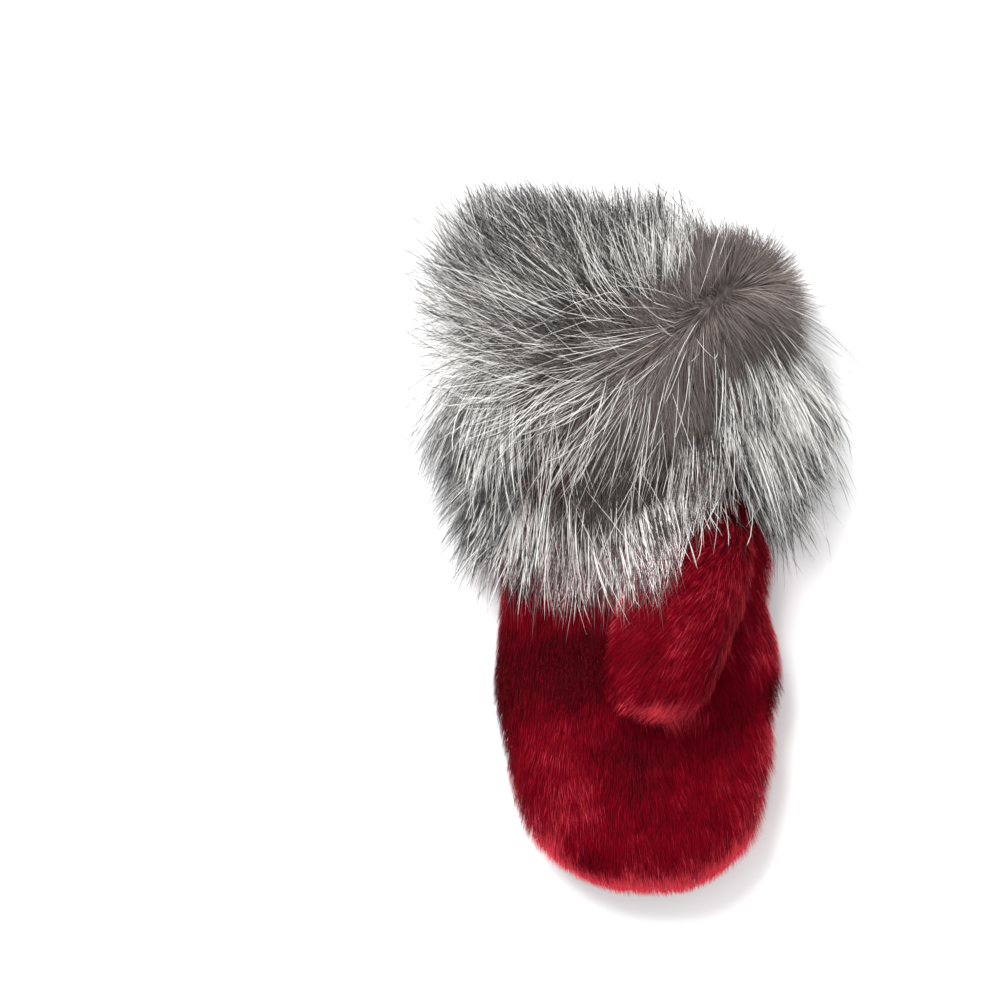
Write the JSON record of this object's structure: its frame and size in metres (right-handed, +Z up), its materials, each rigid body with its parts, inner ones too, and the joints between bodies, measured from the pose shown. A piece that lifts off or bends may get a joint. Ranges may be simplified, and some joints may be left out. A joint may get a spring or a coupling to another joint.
{
  "type": "fur mitten",
  "caption": "Left-hand mitten of short dyed fur with a separate thumb and a deep long-haired fur cuff, lying on its back with the palm up.",
  "frame": {"origin": "on the flat underside that the mitten lies on, under the middle of the palm", "axes": "+Z up from the surface towards the palm, -Y towards the fingertips, +Y out of the cuff's mouth, +X towards the side that the thumb grows from"},
  "size_m": [0.2069, 0.2866, 0.1016],
  "materials": {
    "red_fur": "short dense dyed pile on pelt",
    "silver_fur": "long silver guard hair over grey brown underfur, on pelt"
  },
  "bodies": {
    "root": {"back_panel": "red_fur", "palm_panel": "red_fur", "thumb": "red_fur", "fur_cuff": "silver_fur"}
  },
  "joints": []
}
